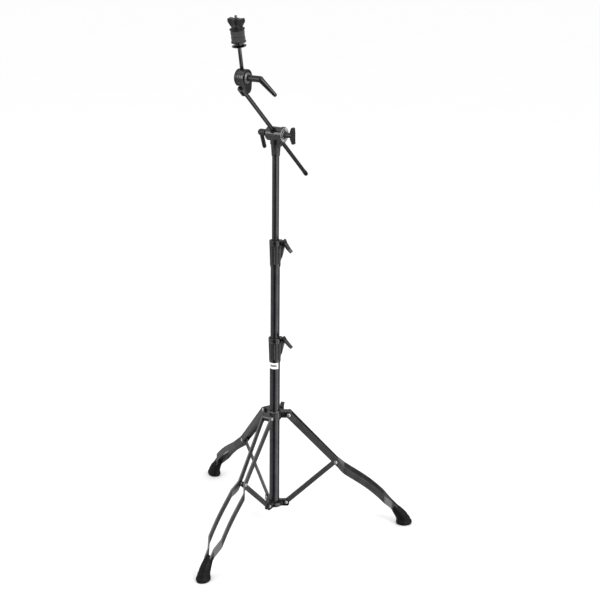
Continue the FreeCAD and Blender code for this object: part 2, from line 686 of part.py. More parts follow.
# ---- assembly ----
def build():
    """Every node by name, drawn about the column's axis."""
    parts = {
        "lower_tube": column_tube(LOWER_TUBE_R, LOWER_TUBE_BOTTOM, LOWER_CLAMP_Z[0] + CLAMP_SEAT),
        "middle_tube": column_tube(MIDDLE_TUBE_R, MIDDLE_TUBE_BOTTOM, UPPER_CLAMP_Z[0] + CLAMP_SEAT),
        "top_tube": column_tube(TOP_TUBE_R, *TOP_TUBE_Z),
        "lower_tube_cap": lower_tube_cap(),
        "label_band": label_band(),
        "leg_collar": leg_collar(),
        "leg_collar_bolt": collar_wing_bolt(),
        "leg_collar_rivets": collar_rivets(),
        "tripod_hub": tripod_hub(),
        "tripod_hub_rivets": hub_rivets(),
        "boom_yoke": boom_yoke(),
        "boom_ratchet_plate": ratchet_plate(),
        "boom_barrel": boom_barrel(),
        "boom_bush": boom_bush(),
        "boom_lever": boom_lever(),
        "boom_wing_nut": boom_wing_nut(),
        "boom_rod": boom_rod(),
        "boom_rod_cap": rod_end_cap(),
        "tilter_base": tilter_base(),
        "tilter_plate": tilter_plate(),
        "tilter_drum": tilter_drum(),
        "tilter_lever": tilter_lever(),
        "cymbal_post": cymbal_post(),
        "cymbal_seat": cup_seat(),
        "cymbal_felt_lower": felt(lower_felt_z()),
        "cymbal_felt_upper": felt(upper_felt_z()),
        "cymbal_washer": cymbal_washer(),
        "cymbal_wing_nut": cymbal_wing_nut(),
    }
    clamps = {"lower": (LOWER_TUBE_R, MIDDLE_TUBE_R, LOWER_CLAMP_Z, LOWER_SCREW_Z, LOWER_WING_ROLL),
              "upper": (MIDDLE_TUBE_R, TOP_TUBE_R, UPPER_CLAMP_Z, UPPER_SCREW_Z, UPPER_WING_ROLL)}
    for name, (tube_r, inner_tube_r, ends, screw_z, roll) in clamps.items():
        parts[name + "_clamp"] = clamp_casting(tube_r, *ends, screw_z)
        parts[name + "_clamp_bush"] = clamp_bush(tube_r, inner_tube_r, *ends)
        parts[name + "_clamp_nut"] = clamp_nut(tube_r, screw_z)
        parts[name + "_clamp_bolt"] = clamp_wing_bolt(tube_r, screw_z, roll)
    bars = leg_bars()
    leg_pieces = {"leg_{}_bars": bars, "leg_{}_foot": leg_foot(bars), "leg_{}_rivets": leg_rivets(),
                  "strut_{}": strut_bar(), "strut_{}_bushes": strut_bushes()}
    for leg, angle in LEG_ANGLES.items():
        for name, shape in leg_pieces.items():
            parts[name.format(leg)] = around(shape, angle)
    return parts


def base_middle(parts):
    """Middle of the bounding box's base, as x and y."""
    box = Part.makeCompound(list(parts.values())).optimalBoundingBox(False, False)
    return Vector(box.Center.x, box.Center.y, 0)


def main():
    os.makedirs("parts", exist_ok=True)
    parts = build()
    shift = base_middle(parts) * -1
    for name, shape in parts.items():
        shape.translate(shift)
        shape.exportStep("parts/" + name + ".step")


if __name__ == "__main__":
    main()
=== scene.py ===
import json
import math

import bmesh
import bpy
from mathutils import Matrix, Vector, noise


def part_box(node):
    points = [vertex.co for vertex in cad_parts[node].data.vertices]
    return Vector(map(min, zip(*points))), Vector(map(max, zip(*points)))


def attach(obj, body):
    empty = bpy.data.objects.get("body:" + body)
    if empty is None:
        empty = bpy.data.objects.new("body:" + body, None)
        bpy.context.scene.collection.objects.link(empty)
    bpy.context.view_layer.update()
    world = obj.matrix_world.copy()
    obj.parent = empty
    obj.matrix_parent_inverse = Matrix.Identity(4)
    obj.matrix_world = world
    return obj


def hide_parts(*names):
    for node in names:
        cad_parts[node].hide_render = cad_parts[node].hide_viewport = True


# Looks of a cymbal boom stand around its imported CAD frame.
# The row frame is in metres, +Z up. Outlines are in millimetres about a local Z axis,
# and at() takes them to metres in the row frame.

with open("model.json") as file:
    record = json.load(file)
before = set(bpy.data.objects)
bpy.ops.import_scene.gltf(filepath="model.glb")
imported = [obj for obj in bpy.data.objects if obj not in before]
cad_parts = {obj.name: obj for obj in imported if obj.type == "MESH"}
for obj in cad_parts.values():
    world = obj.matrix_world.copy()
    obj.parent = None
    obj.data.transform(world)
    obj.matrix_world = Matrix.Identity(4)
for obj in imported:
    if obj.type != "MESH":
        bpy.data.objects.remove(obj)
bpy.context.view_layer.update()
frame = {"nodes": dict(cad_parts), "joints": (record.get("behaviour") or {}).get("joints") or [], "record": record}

MM = 0.001
UP = Vector((0, 0, 1))
RECORD = frame["record"]
JOINTS = {joint["name"]: joint for joint in frame["joints"]}
BODY_OF = {node: body for body, nodes in RECORD["behaviour"]["bodies"].items() for node in nodes}
LEGS = {"a": 0.0, "b": -120.0, "c": 120.0}  # azimuth of each leg about the column

# sizes in millimetres that the frame doesn't give as a box
TUBE_WALL = 1.2
BUSH_LIP = 2.6  # height of the clamp bush's lip over its casting
BUSH_LIP_WALL = 1.35
PLATE_BORE_R = 4.1  # bore of the two pale plates
RIVET_DOME = 2.0  # height of a rivet's head
COLLAR_RIVET_HALF, COLLAR_RIVET_R = 15.6, 5.2  # half length under the heads, and head radius
HUB_RIVET_HALF, HUB_RIVET_R = 6.8, 4.4
LUG_SIDE = 9.4  # bottom of the pockets in the collar's lugs, from the leg's middle plane
THREAD_PITCH, THREAD_R, THREAD_DEPTH = 1.25, 4.0, 0.62
POST_TIP, POST_TIP_R = 6.0, 3.3  # plain end of the cymbal post

# grid that a casting's edges are melted on: small wings, levers and clamps, and large bodies
FINE, MEDIUM, COARSE = 0.4, 0.45, 0.5


# ---- places read from the frame ----
def middle(node):
    """Centre of a node's box."""
    low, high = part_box(node)
    return (low + high) / 2


def joint_place(name):
    return Vector(JOINTS[name]["pos_m"])


def joint_axis(name):
    return Vector(JOINTS[name]["axis"])


def points_of(node):
    return [vertex.co for vertex in frame["nodes"][node].data.vertices]


def span(node, origin, axis):
    """Lowest and highest place of a node along an axis, in millimetres from its origin."""
    places = [(point - origin).dot(axis) / MM for point in points_of(node)]
    return min(places), max(places)


def reach(node, origin, axis):
    """Largest distance of a node from an axis, in millimetres."""
    return max((point - origin).cross(axis).length / MM for point in points_of(node))


COLUMN = Vector((middle("lower_tube").x, middle("lower_tube").y, 0))
BOOM_CENTRE = joint_place("boom_tilt")
BOOM_SIDE = joint_axis("boom_tilt")
BOOM_LINE = joint_axis("boom_rod_slide")
BOOM_AHEAD = BOOM_SIDE.cross(UP)
TILTER_CENTRE = joint_place("cymbal_tilt")
POST_LINE = joint_axis("lower_felt_lift")


def at(origin, up=UP, ahead=Vector((1, 0, 0))):
    """Matrix from millimetres about local Z to metres in the row frame."""
    z_axis = up.normalized()
    x_axis = (ahead - z_axis * z_axis.dot(ahead)).normalized()
    turn = Matrix((x_axis, z_axis.cross(x_axis), z_axis)).transposed().to_4x4()
    return Matrix.Translation(origin) @ turn @ Matrix.Scale(MM, 4)


def around_column(angle):
    """Matrix that turns the row frame's points about the column's axis."""
    turn = Matrix.Rotation(math.radians(angle), 4, UP)
    return Matrix.Translation(COLUMN) @ turn @ Matrix.Translation(-COLUMN)


# ---- shader nodes ----
def add(tree, kind, inputs=None, **settings):
    """Adds a shader node; an input is a number, a colour or another node's socket."""
    made = tree.nodes.new("ShaderNode" + kind)
    for name, value in settings.items():
        setattr(made, name, value)
    for name, value in (inputs or {}).items():
        if isinstance(value, bpy.types.NodeSocket):
            tree.links.new(value, made.inputs[name])
        else:
            made.inputs[name].default_value = value
    return made


def place_on_piece(tree, stretch=(1, 1, 1)):
    """The piece's own coordinates, stretched."""
    source = add(tree, "TexCoord").outputs["Object"]
    return add(tree, "Mapping", {"Vector": source, "Scale": stretch}).outputs["Vector"]


def grain(tree, scale, detail=4.0, stretch=(1, 1, 1)):
    """Noise from 0 to 1, with its scale per metre."""
    inputs = {"Vector": place_on_piece(tree, stretch), "Scale": scale, "Detail": detail}
    return add(tree, "TexNoise", inputs).outputs["Fac"]


def between(tree, value, low, high, from_low=0.3, from_high=0.7):
    """The value mapped from one range to another, and held inside it."""
    inputs = {"Value": value, "From Min": from_low, "From Max": from_high, "To Min": low, "To Max": high}
    return add(tree, "MapRange", inputs).outputs["Result"]


def blended(tree, factor, first, second):
    """Colour between two colours or sockets."""
    made = tree.nodes.new("ShaderNodeMix")
    made.data_type = "RGBA"
    for socket, value in ((made.inputs[0], factor), (made.inputs[6], first), (made.inputs[7], second)):
        if isinstance(value, bpy.types.NodeSocket):
            tree.links.new(value, socket)
        elif isinstance(value, tuple):
            socket.default_value = (*value, 1)
        else:
            socket.default_value = value
    return made.outputs[2]


def worn_edges(tree, radius, amount):
    """High on outer edges, broken up by noise: a mask for rubbed wear, which the castings and handles also use for
    painted edge highlights.
    """
    bevelled = add(tree, "Bevel", {"Radius": radius}, samples=6).outputs["Normal"]
    plain = add(tree, "NewGeometry").outputs["Normal"]
    alike = add(tree, "VectorMath", {0: bevelled, 1: plain}, operation="DOT_PRODUCT").outputs["Value"]
    edge = between(tree, alike, amount, 0.0, 0.80, 0.99)
    patchy = between(tree, grain(tree, 160, 6), 0.1, 1.0, 0.42, 0.60)
    return add(tree, "Math", {0: edge, 1: patchy}, operation="MULTIPLY").outputs["Value"]


def shader(name, color, roughness, bump, constants):
    """Principled material with a colour, a roughness and a bump made by nodes."""
    material = bpy.data.materials.new(name)
    material.use_nodes = True
    tree = material.node_tree
    principled = tree.nodes["Principled BSDF"]
    for socket, value in constants.items():
        principled.inputs[socket].default_value = value
    tree.links.new(color(tree), principled.inputs["Base Color"])
    tree.links.new(roughness(tree), principled.inputs["Roughness"])
    height, strength, distance = bump(tree)
    relief = add(tree, "Bump", {"Height": height, "Strength": strength, "Distance": distance})
    tree.links.new(relief.outputs["Normal"], principled.inputs["Normal"])
    return material


# ---- materials, one for each slot of the record ----
def plating(name, dark, light, rub, rough_low, rough_high):
    """Black nickel plating with faint drawing lines, haze and rubbed edges."""
    def color(tree):
        tone = blended(tree, between(tree, grain(tree, 35), 0.0, 1.0), dark, light)
        return blended(tree, worn_edges(tree, 0.0006, 0.5), tone, rub)

    def roughness(tree):
        haze = between(tree, grain(tree, 45, 5), rough_low, rough_high)
        lines = between(tree, grain(tree, 500, 2, (1, 1, 0.02)), -0.02, 0.02)
        return add(tree, "Math", {0: haze, 1: lines}, operation="ADD").outputs["Value"]

    def bump(tree):
        return grain(tree, 700, 2, (1, 1, 0.02)), 0.03, 0.0001

    return shader(name, color, roughness, bump, {"Metallic": 1.0})


def cast_black():
    """Die-cast metal under glossy black paint, with a fine orange peel and pale edges that are partly rubbed wear
    and partly painted highlights.
    """
    def color(tree):
        tone = blended(tree, between(tree, grain(tree, 70), 0.0, 1.0), (0.001, 0.001, 0.0012),
                       (0.004, 0.004, 0.0045))
        # pale grey on the edges: partly bare metal rubbed through, partly painted edge highlights standing in for
        # glints
        return blended(tree, worn_edges(tree, 0.0012, 0.9), tone, (0.30, 0.30, 0.30))

    def roughness(tree):
        return between(tree, grain(tree, 200, 5), 0.08, 0.19)

    def bump(tree):
        return grain(tree, 650, 3), 0.08, 0.0002

    return shader("cast_black", color, roughness, bump, {"Specular IOR Level": 0.7})


def handle_black():
    """Satin powder coat of the wings and levers, rubbed by hands, with pale edges that are partly that wear and
    partly painted highlights.
    """
    def color(tree):
        tone = blended(tree, between(tree, grain(tree, 90), 0.0, 1.0), (0.002, 0.002, 0.002),
                       (0.007, 0.007, 0.0075))
        # grey on the edges: partly rubbed wear, partly painted edge highlights standing in for glints
        return blended(tree, worn_edges(tree, 0.0012, 0.8), tone, (0.13, 0.13, 0.13))

    def roughness(tree):
        return between(tree, grain(tree, 120, 6), 0.20, 0.36)

    def bump(tree):
        return grain(tree, 1200, 3), 0.10, 0.0002

    return shader("handle_black", color, roughness, bump, {"Specular IOR Level": 0.4})


def nylon_black():
    """Moulded nylon, slightly mottled."""
    def color(tree):
        return blended(tree, between(tree, grain(tree, 300, 6), 0.0, 1.0), (0.004, 0.004, 0.004),
                       (0.012, 0.012, 0.012))

    def roughness(tree):
        return between(tree, grain(tree, 200), 0.32, 0.50)

    def bump(tree):
        return grain(tree, 2400, 3), 0.15, 0.0002

    return shader("nylon_black", color, roughness, bump, {"Specular IOR Level": 0.25})


def rubber_black():
    """Soft rubber with a dusty bloom that thickens toward the sole."""
    def color(tree):
        height = add(tree, "SeparateXYZ", {"Vector": place_on_piece(tree)}).outputs["Z"]
        low_down = between(tree, height, 0.5, 0.0, 0.0, 0.02)
        cloud = between(tree, grain(tree, 110, 8), 0.0, 1.0, 0.42, 0.68)
        dust = add(tree, "Math", {0: low_down, 1: cloud}, operation="MULTIPLY").outputs["Value"]
        tone = blended(tree, between(tree, grain(tree, 60), 0.0, 1.0), (0.002, 0.002, 0.002),
                       (0.006, 0.006, 0.006))
        return blended(tree, dust, tone, (0.022, 0.021, 0.020))

    def roughness(tree):
        return between(tree, grain(tree, 150, 5), 0.40, 0.62)

    def bump(tree):
        return grain(tree, 1300, 5), 0.30, 0.0003

    return shader("rubber_black", color, roughness, bump, {"Specular IOR Level": 0.12})


def felt_grey():
    """Pressed felt: tangled fibres, lint and a soft sheen."""
    def color(tree):
        fibres = between(tree, grain(tree, 1300, 8, (1, 1, 0.45)), 0.0, 1.0, 0.35, 0.65)
        tone = blended(tree, fibres, (0.016, 0.016, 0.017), (0.060, 0.060, 0.062))
        lint = between(tree, grain(tree, 420, 4), 0.0, 0.45, 0.62, 0.74)
        return blended(tree, lint, tone, (0.12, 0.12, 0.12))

    def roughness(tree):
        return between(tree, grain(tree, 900), 0.85, 1.0)

    def bump(tree):
        return grain(tree, 2100, 8, (1, 1, 0.5)), 0.8, 0.0006

    return shader("felt_grey", color, roughness, bump,
                  {"Sheen Weight": 0.18, "Sheen Roughness": 0.5, "Specular IOR Level": 0.1})


def bright_steel(name, dark, light, rough_low, rough_high):
    """Zinc-plated steel with fine scratches and dull spots."""
    def color(tree):
        return blended(tree, between(tree, grain(tree, 500, 6), 0.0, 1.0), dark, light)

    def roughness(tree):
        return between(tree, grain(tree, 700, 5), rough_low, rough_high)

    def bump(tree):
        return grain(tree, 2600, 4, (1, 0.1, 1)), 0.12, 0.0002

    return shader(name, color, roughness, bump, {"Metallic": 1.0})


def label_white():
    """Printed film: white with one plain grey panel of broken bars."""
    def within(tree, value, low, high):
        above = between(tree, value, 0.0, 1.0, low - 0.01, low + 0.01)
        below = between(tree, value, 1.0, 0.0, high - 0.01, high + 0.01)
        return add(tree, "Math", {0: above, 1: below}, operation="MULTIPLY").outputs["Value"]

    def color(tree):
        low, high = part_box("label_band")
        source = add(tree, "SeparateXYZ", {"Vector": place_on_piece(tree)}).outputs
        up = between(tree, source["Z"], 0.0, 1.0, low.z, high.z)
        across = between(tree, source["X"], 0.0, 1.0, low.x, high.x)
        panel = add(tree, "Math", {0: within(tree, up, 0.34, 0.66), 1: within(tree, across, 0.10, 0.80)},
                    operation="MULTIPLY").outputs["Value"]
        bars = add(tree, "TexWave", {"Vector": place_on_piece(tree), "Scale": 190.0, "Distortion": 3.0},
                   bands_direction="X").outputs["Fac"]
        ink = add(tree, "Math", {0: panel, 1: between(tree, bars, 0.75, 1.0, 0.2, 0.6)}, operation="MULTIPLY")
        film = blended(tree, between(tree, grain(tree, 140, 5), 0.0, 1.0), (0.80, 0.80, 0.79),
                       (0.90, 0.90, 0.89))
        return blended(tree, ink.outputs["Value"], film, (0.07, 0.07, 0.075))

    def roughness(tree):
        return between(tree, grain(tree, 300), 0.40, 0.55)

    def bump(tree):
        return grain(tree, 900, 3), 0.05, 0.0001

    return shader("label_white", color, roughness, bump, {"Specular IOR Level": 0.3})


MATERIALS = {
    "black_plating": plating("black_plating", (0.055, 0.055, 0.060), (0.075, 0.075, 0.080),
                             (0.25, 0.25, 0.25), 0.22, 0.32),
    "leg_plating": plating("leg_plating", (0.10, 0.10, 0.102), (0.135, 0.135, 0.137),
                           (0.34, 0.34, 0.34), 0.36, 0.46),
    "cast_black": cast_black(),
    "handle_black": handle_black(),
    "nylon_black": nylon_black(),
    "rubber_black": rubber_black(),
    "felt_grey": felt_grey(),
    "steel": bright_steel("steel", (0.42, 0.42, 0.43), (0.62, 0.62, 0.63), 0.22, 0.40),
    "pale_zinc": bright_steel("pale_zinc", (0.24, 0.24, 0.24), (0.36, 0.36, 0.35), 0.30, 0.45),
    "label_white": label_white(),
}
SLOT_OF = {part["node"]: part["material_slot"] for part in RECORD["subparts"]}


# ---- making pieces ----
def piece(node, suffix, mesh, material=None):
    """Shows a mesh in place of a CAD node, on that node's body and with its material slot."""
    made = bpy.data.objects.new(node + "_" + suffix, mesh)
    bpy.context.scene.collection.objects.link(made)
    mesh.materials.clear()
    mesh.materials.append(MATERIALS[material or SLOT_OF[node]])
    mesh.shade_smooth()
    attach(made, BODY_OF[node])
    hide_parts(node)
    return made


def mesh_from(bm, name):
    """A mesh from the bmesh, which is freed."""
    bmesh.ops.recalc_face_normals(bm, faces=bm.faces)
    mesh = bpy.data.meshes.new(name)
    bm.to_mesh(mesh)
    bm.free()
    return mesh


def rounded(outline, radius, closed=False, steps=4):
    """The outline's (r, z) corners, each replaced by a short curve."""
    points = [Vector(point) for point in outline]
    result = []
    count = len(points)
    for index, corner in enumerate(points):
        if not closed and index in (0, count - 1):
            result.append(corner)
            continue
        back = points[index - 1] - corner
        ahead = points[(index + 1) % count] - corner
        cut = min(radius, back.length * 0.45, ahead.length * 0.45)
        start = corner + back.normalized() * cut
        end = corner + ahead.normalized() * cut
        for step in range(steps + 1):
            part = step / steps
            result.append(start * (1 - part) ** 2 + corner * 2 * part * (1 - part) + end * part ** 2)
    return result


def lathe(bm, outline, matrix, closed=False, segments=96):
    """Turns an (r, z) outline about local Z; a closed outline makes a ring."""
    rings = []
    for radius, height in outline:
        if radius < 1e-6:
            rings.append([bm.verts.new(matrix @ Vector((0, 0, height)))])
            continue
        ring = []
        for step in range(segments):
            turn = 2 * math.pi * step / segments
            place = Vector((radius * math.cos(turn), radius * math.sin(turn), height))
            ring.append(bm.verts.new(matrix @ place))
        rings.append(ring)
    pairs = list(zip(rings, rings[1:]))
    if closed:
        pairs.append((rings[-1], rings[0]))
    for lower, upper in pairs:
        join_rings(bm, lower, upper, segments)


def join_rings(bm, lower, upper, segments):
    """Faces between two rings; a ring of one point closes to it."""
    for step in range(segments):
        after = (step + 1) % segments
        corners = [lower[step % len(lower)], lower[after % len(lower)],
                   upper[after % len(upper)], upper[step % len(upper)]]
        unique = list(dict.fromkeys(corners))
        if len(unique) > 2:
            bm.faces.new(unique)


def skin(bm, rings, segments):
    """Joins the rings in turn and closes both ends."""
    for lower, upper in zip(rings, rings[1:]):
        join_rings(bm, lower, upper, segments)
    bm.faces.new(rings[0])
    bm.faces.new(rings[-1])


def turned(node, suffix, outline, matrix, radius=0.6, closed=False, segments=96):
    """A turned piece with softened corners, in place of a CAD node."""
    bm = bmesh.new()
    lathe(bm, rounded(outline, radius, closed), matrix, closed, segments)
    return piece(node, suffix, mesh_from(bm, node))


def copied(node):
    """A copy of a CAD node's mesh, with its split corners joined and its flats whole."""
    bm = bmesh.new()
    bm.from_mesh(frame["nodes"][node].data)
    bmesh.ops.remove_doubles(bm, verts=bm.verts, dist=1e-6)
    bmesh.ops.dissolve_limit(bm, angle_limit=math.radians(0.5), verts=bm.verts, edges=bm.edges)
    return mesh_from(bm, node)


def bevelled(node, suffix, width, material=None):
    """A bar or plate in place of a CAD node, with its edges rounded."""
    made = piece(node, suffix, copied(node), material)
    edges = made.modifiers.new("edges", "BEVEL")
    edges.width = width * MM
    edges.segments = 3
    edges.limit_method = "ANGLE"
    edges.angle_limit = math.radians(40)
    made.modifiers.new("normals", "WEIGHTED_NORMAL").keep_sharp = True
    return made


def applied(holder):
    """The holder's mesh with its modifiers, and the holder removed."""
    graph = bpy.context.evaluated_depsgraph_get()
    mesh = bpy.data.meshes.new_from_object(holder.evaluated_get(graph))
    bpy.data.objects.remove(holder)
    return mesh


def holder_of(mesh):
    """A passing object, to put modifiers on."""
    made = bpy.data.objects.new("working", mesh)
    bpy.context.scene.collection.objects.link(made)
    return made


def casting(node, voxel, melt, cuts=(), adds=()):
    """A casting in place of a CAD node: cuts and added shapes, then every edge melted round."""
    work = holder_of(copied(node))
    cutters = [holder_of(mesh_from(shape, "cutter")) for shape in cuts]
    for cutter in cutters:
        cut = work.modifiers.new("cut", "BOOLEAN")
        cut.operation = "DIFFERENCE"
        cut.solver = "EXACT"
        cut.object = cutter
    mesh = applied(work)
    for cutter in cutters:
        bpy.data.objects.remove(cutter)
    bm = bmesh.new()
    bm.from_mesh(mesh)
    for shape in adds:
        extra = mesh_from(shape, "extra")
        bm.from_mesh(extra)
    work = holder_of(mesh_from(bm, node))
    remesh = work.modifiers.new("solid", "REMESH")
    remesh.mode = "VOXEL"
    remesh.voxel_size = voxel * MM
    soften = work.modifiers.new("melt", "SMOOTH")
    soften.factor = 0.5
    soften.iterations = melt
    return piece(node, "casting", applied(work))


def ring_shape(inner, outer, low, high, matrix):
    """A flat ring, to add or to cut."""
    bm = bmesh.new()
    lathe(bm, [(inner, low), (outer, low), (outer, high), (inner, high)], matrix, closed=True)
    return bm


def block_shape(low, high, matrix):
    """A box between two corners."""
    bm = bmesh.new()
    bmesh.ops.create_cube(bm, size=1.0)
    size = Vector(high) - Vector(low)
    centre = (Vector(high) + Vector(low)) / 2
    local = Matrix.Translation(centre) @ Matrix.Diagonal((*size, 1))
    bmesh.ops.transform(bm, matrix=matrix @ local, verts=bm.verts)
    return bm


# ---- column ----
def column_tube(node):
    """Tube with rounded ends."""
    low, high = span(node, COLUMN, UP)
    outer = reach(node, COLUMN, UP)
    inner = outer - TUBE_WALL
    return turned(node, "finished", [(inner, low), (outer, low), (outer, high), (inner, high)],
                  at(COLUMN), radius=0.5, closed=True)


def tube_cap():
    """Plug with a dished underside in the lower tube's end."""
    low, high = span("lower_tube_cap", COLUMN, UP)
    wide = reach("lower_tube_cap", COLUMN, UP)
    bore = wide - 0.4
    return turned("lower_tube_cap", "finished",
                  [(0, low + 1.5), (6, low + 1.5), (7, low), (10, low), (wide, low + 2), (wide, low + 4),
                   (bore, low + 4), (bore, high), (0, high)], at(COLUMN))


def clamp_bush(node, inner_tube):
    """Bush in the clamp, with a lip that stands out of the casting around the inner tube."""
    low, high = span(node, COLUMN, UP)
    outer = reach(node, COLUMN, UP)
    bore = reach(inner_tube, COLUMN, UP) + 0.05
    lip = bore + BUSH_LIP_WALL
    top = high - BUSH_LIP
    outline = [(bore, low), (outer, low), (outer, top), (lip, top), (lip, high - 0.7), (lip - 0.7, high),
               (bore, high)]
    return turned(node, "finished", outline, at(COLUMN), radius=0.3, closed=True)


def clamp_casting(node):
    """Fluted clamp with a groove under its band and a collar around its foot."""
    low, high = span(node, COLUMN, UP)
    foot = reach("lower_tube" if node == "lower_clamp" else "middle_tube", COLUMN, UP)
    groove = ring_shape(foot + 2.8, foot + 8, high - 11.5, high - 10.3, at(COLUMN))
    collar = ring_shape(foot + 0.2, foot + 1.5, low - 0.9, low + 2.5, at(COLUMN))
    cuts = [groove]
    for turn in range(90, 361, 30):
        cuts.append(flute_shape(turn, 3.0, (foot + 3.6, low + 9), (foot + 4.7, high - 15)))
    return casting(node, MEDIUM, 2, cuts=cuts, adds=[collar])


def flute_shape(turn, radius, foot, head):
    """Round-ended groove up the column's side, between two (distance, height) places."""
    radial = Matrix.Rotation(math.radians(turn), 4, "Z")
    start = radial @ Vector((foot[0], 0, foot[1]))
    line = radial @ Vector((head[0], 0, head[1])) - start
    outline = rounded([(0, 0), (radius, 0), (radius, line.length), (0, line.length)], radius)
    bm = bmesh.new()
    lathe(bm, outline, at(COLUMN + start * MM, line, radial @ Vector((0, 1, 0))), segments=28)
    return bm


# ---- tripod ----
def rivet_dome(bm, head_r, height, matrix):
    """Domed head with a rolled rim and a small dimple."""
    outline = [(0, -1.5), (head_r - 1, -1.5), (head_r - 0.4, 0), (head_r, 0.25), (head_r, 0.55)]
    for step in range(1, 10):
        turn = math.radians(10 * step)
        outline.append((head_r * math.cos(turn), 0.55 + (height - 0.55) * math.sin(turn)))
    outline[-1] = (1.2, height)
    outline += [(0.9, height - 0.25), (0, height - 0.3)]
    lathe(bm, outline, matrix, segments=40)


def rivets(node, places, head_r):
    """Domed rivets: places are (point on the axis, axis, half length to under the heads)."""
    bm = bmesh.new()
    for centre, along, half in places:
        for side in (-1, 1):
            seat = at(centre + along * (side * half * MM), along * side)
            rivet_dome(bm, head_r, RIVET_DOME, seat)
        shank_r, end = head_r * 0.6, half - 0.5
        lathe(bm, [(0, -end), (shank_r, -end), (shank_r, end), (0, end)], at(centre, along), segments=32)
    return piece(node, "finished", mesh_from(bm, node))


def leg_radial(angle):
    """Level direction from the column toward a leg."""
    turn = math.radians(angle)
    return Vector((math.cos(turn), math.sin(turn), 0))


def collar_casting():
    """Sliding collar with a groove under its rim, another over its foot and pockets in its lugs."""
    low, high = span("leg_collar", COLUMN, UP)
    wide = reach("lower_tube", COLUMN, UP) + 3
    cuts = []
    for height in (low + 3.5, high - 6.0):
        cuts.append(ring_shape(wide, wide + 4, height, height + 2.4, at(COLUMN)))
    centre = Vector((COLUMN.x, COLUMN.y, joint_place("leg_a_fold").z))
    for angle in LEGS.values():
        for side in (-1, 1):
            lug = at(centre, UP.cross(leg_radial(angle)) * side, leg_radial(angle))
            cuts.append(block_shape((22.5, -5.5, LUG_SIDE), (31.5, 5.5, 14), lug))
    return casting("leg_collar", COARSE, 3, cuts=cuts)


def tripod_rivets():
    """Rivets through the collar's and the hub's lugs, and the head on each leg's bars."""
    kinds = (("leg_collar_rivets", "leg_{}_fold", COLLAR_RIVET_HALF, COLLAR_RIVET_R),
             ("tripod_hub_rivets", "strut_{}_fold", HUB_RIVET_HALF, HUB_RIVET_R))
    for node, joint, half, head_r in kinds:
        places = []
        for leg, angle in LEGS.items():
            places.append((joint_place(joint.format(leg)), UP.cross(leg_radial(angle)), half))
        rivets(node, places, head_r)
    for leg, angle in LEGS.items():
        node = "leg_{}_rivets".format(leg)
        along = UP.cross(leg_radial(angle))
        half = span(node, middle(node), along)[1] - RIVET_DOME
        bm = bmesh.new()
        for side in (-1, 1):
            seat = middle(node) + along * (side * half * MM)
            rivet_dome(bm, COLLAR_RIVET_R, RIVET_DOME, at(seat, along * side))
        piece(node, "finished", mesh_from(bm, node))


FOOT_RINGS = (  # distance from the column, height, lean from level in degrees, half length, half width
    (346, 55, 50, 10.5, 11.5), (353, 47, 40, 12.8, 12.4), (361, 38, 30, 15.2, 13.8),
    (368, 29, 19, 17.4, 15.0), (373, 21, 11, 19.2, 16.0), (376, 14, 5, 20.8, 16.9),
    (377.3, 9, 1, 23.0, 18.5), (377.5, 5, 0, 23.0, 18.6),
)
MOUTH_RINGS = (  # share of the first ring and height over it, coming out over the boot's mouth
    (0.30, -1.2), (0.72, -1.2), (0.86, -0.8), (0.92, 0.6), (1.0, 1.4), (1.07, 1.0), (1.09, -0.2),
)
RIBS = 9
RIB_DEPTH = 0.045  # share of the boot's width
RIBBED = (0.35, 0.93)  # share of the way down the boot where the ribs run
SOLE_RINGS = (  # height and share of the last ring, going in under the sole
    (2.2, 0.975), (0.6, 0.93), (0.0, 0.88), (0.0, 0.74), (2.0, 0.71), (2.0, 0.60), (0.0, 0.57), (0.0, 0.40),
    (2.0, 0.37), (2.0, 0.24), (0.0, 0.21), (0.0, 0.05),
)


def curve_between(rows, steps):
    """Rows of numbers along a smooth curve through the given rows."""
    result = []
    last = len(rows) - 1
    for index in range(last):
        around = [rows[max(0, min(last, index + shift))] for shift in (-1, 0, 1, 2)]
        for step in range(steps):
            part = step / steps
            row = []
            for before, start, end, after in zip(*around):
                row.append(0.5 * (2 * start + (end - before) * part
                                  + (2 * before - 5 * start + 4 * end - after) * part ** 2
                                  + (3 * start - before - 3 * end + after) * part ** 3))
            result.append(row)
    result.append(list(rows[last]))
    return result


def foot_boot(leg):
    """Rubber boot: rolled mouth, grip ribs around the flare and a grooved sole."""
    segments = 72
    place = around_column(LEGS[leg]) @ at(COLUMN)
    bm = bmesh.new()
    rings = []

    def add_ring(row, scale, lift=0.0):
        distance, height, lean, along, across = row
        tilt = Matrix.Rotation(math.radians(-lean), 4, "Y")
        ring = []
        for step in range(segments):
            turn = 2 * math.pi * step / segments
            flat = Vector((along * scale * math.cos(turn), across * scale * math.sin(turn), lift))
            ring.append(bm.verts.new(place @ (Vector((distance, 0, height)) + tilt @ flat)))
        rings.append(ring)

    top = FOOT_RINGS[0]
    for scale, lift in MOUTH_RINGS:
        add_ring(top, scale, lift)
    body = curve_between(FOOT_RINGS, 8)
    for index, row in enumerate(body[2:]):
        part = index / (len(body) - 3)
        rib = 0.0
        if RIBBED[0] < part < RIBBED[1]:
            rib = RIB_DEPTH * max(0.0, math.sin(part * math.pi * RIBS))
        add_ring(row, 1.0 - rib)
    for height, share in SOLE_RINGS:
        distance, _, _, along, across = FOOT_RINGS[-1]
        add_ring((distance - 0.5, height, 0, along, across), share)
    skin(bm, rings, segments)
    return piece("leg_{}_foot".format(leg), "boot", mesh_from(bm, "boot"))


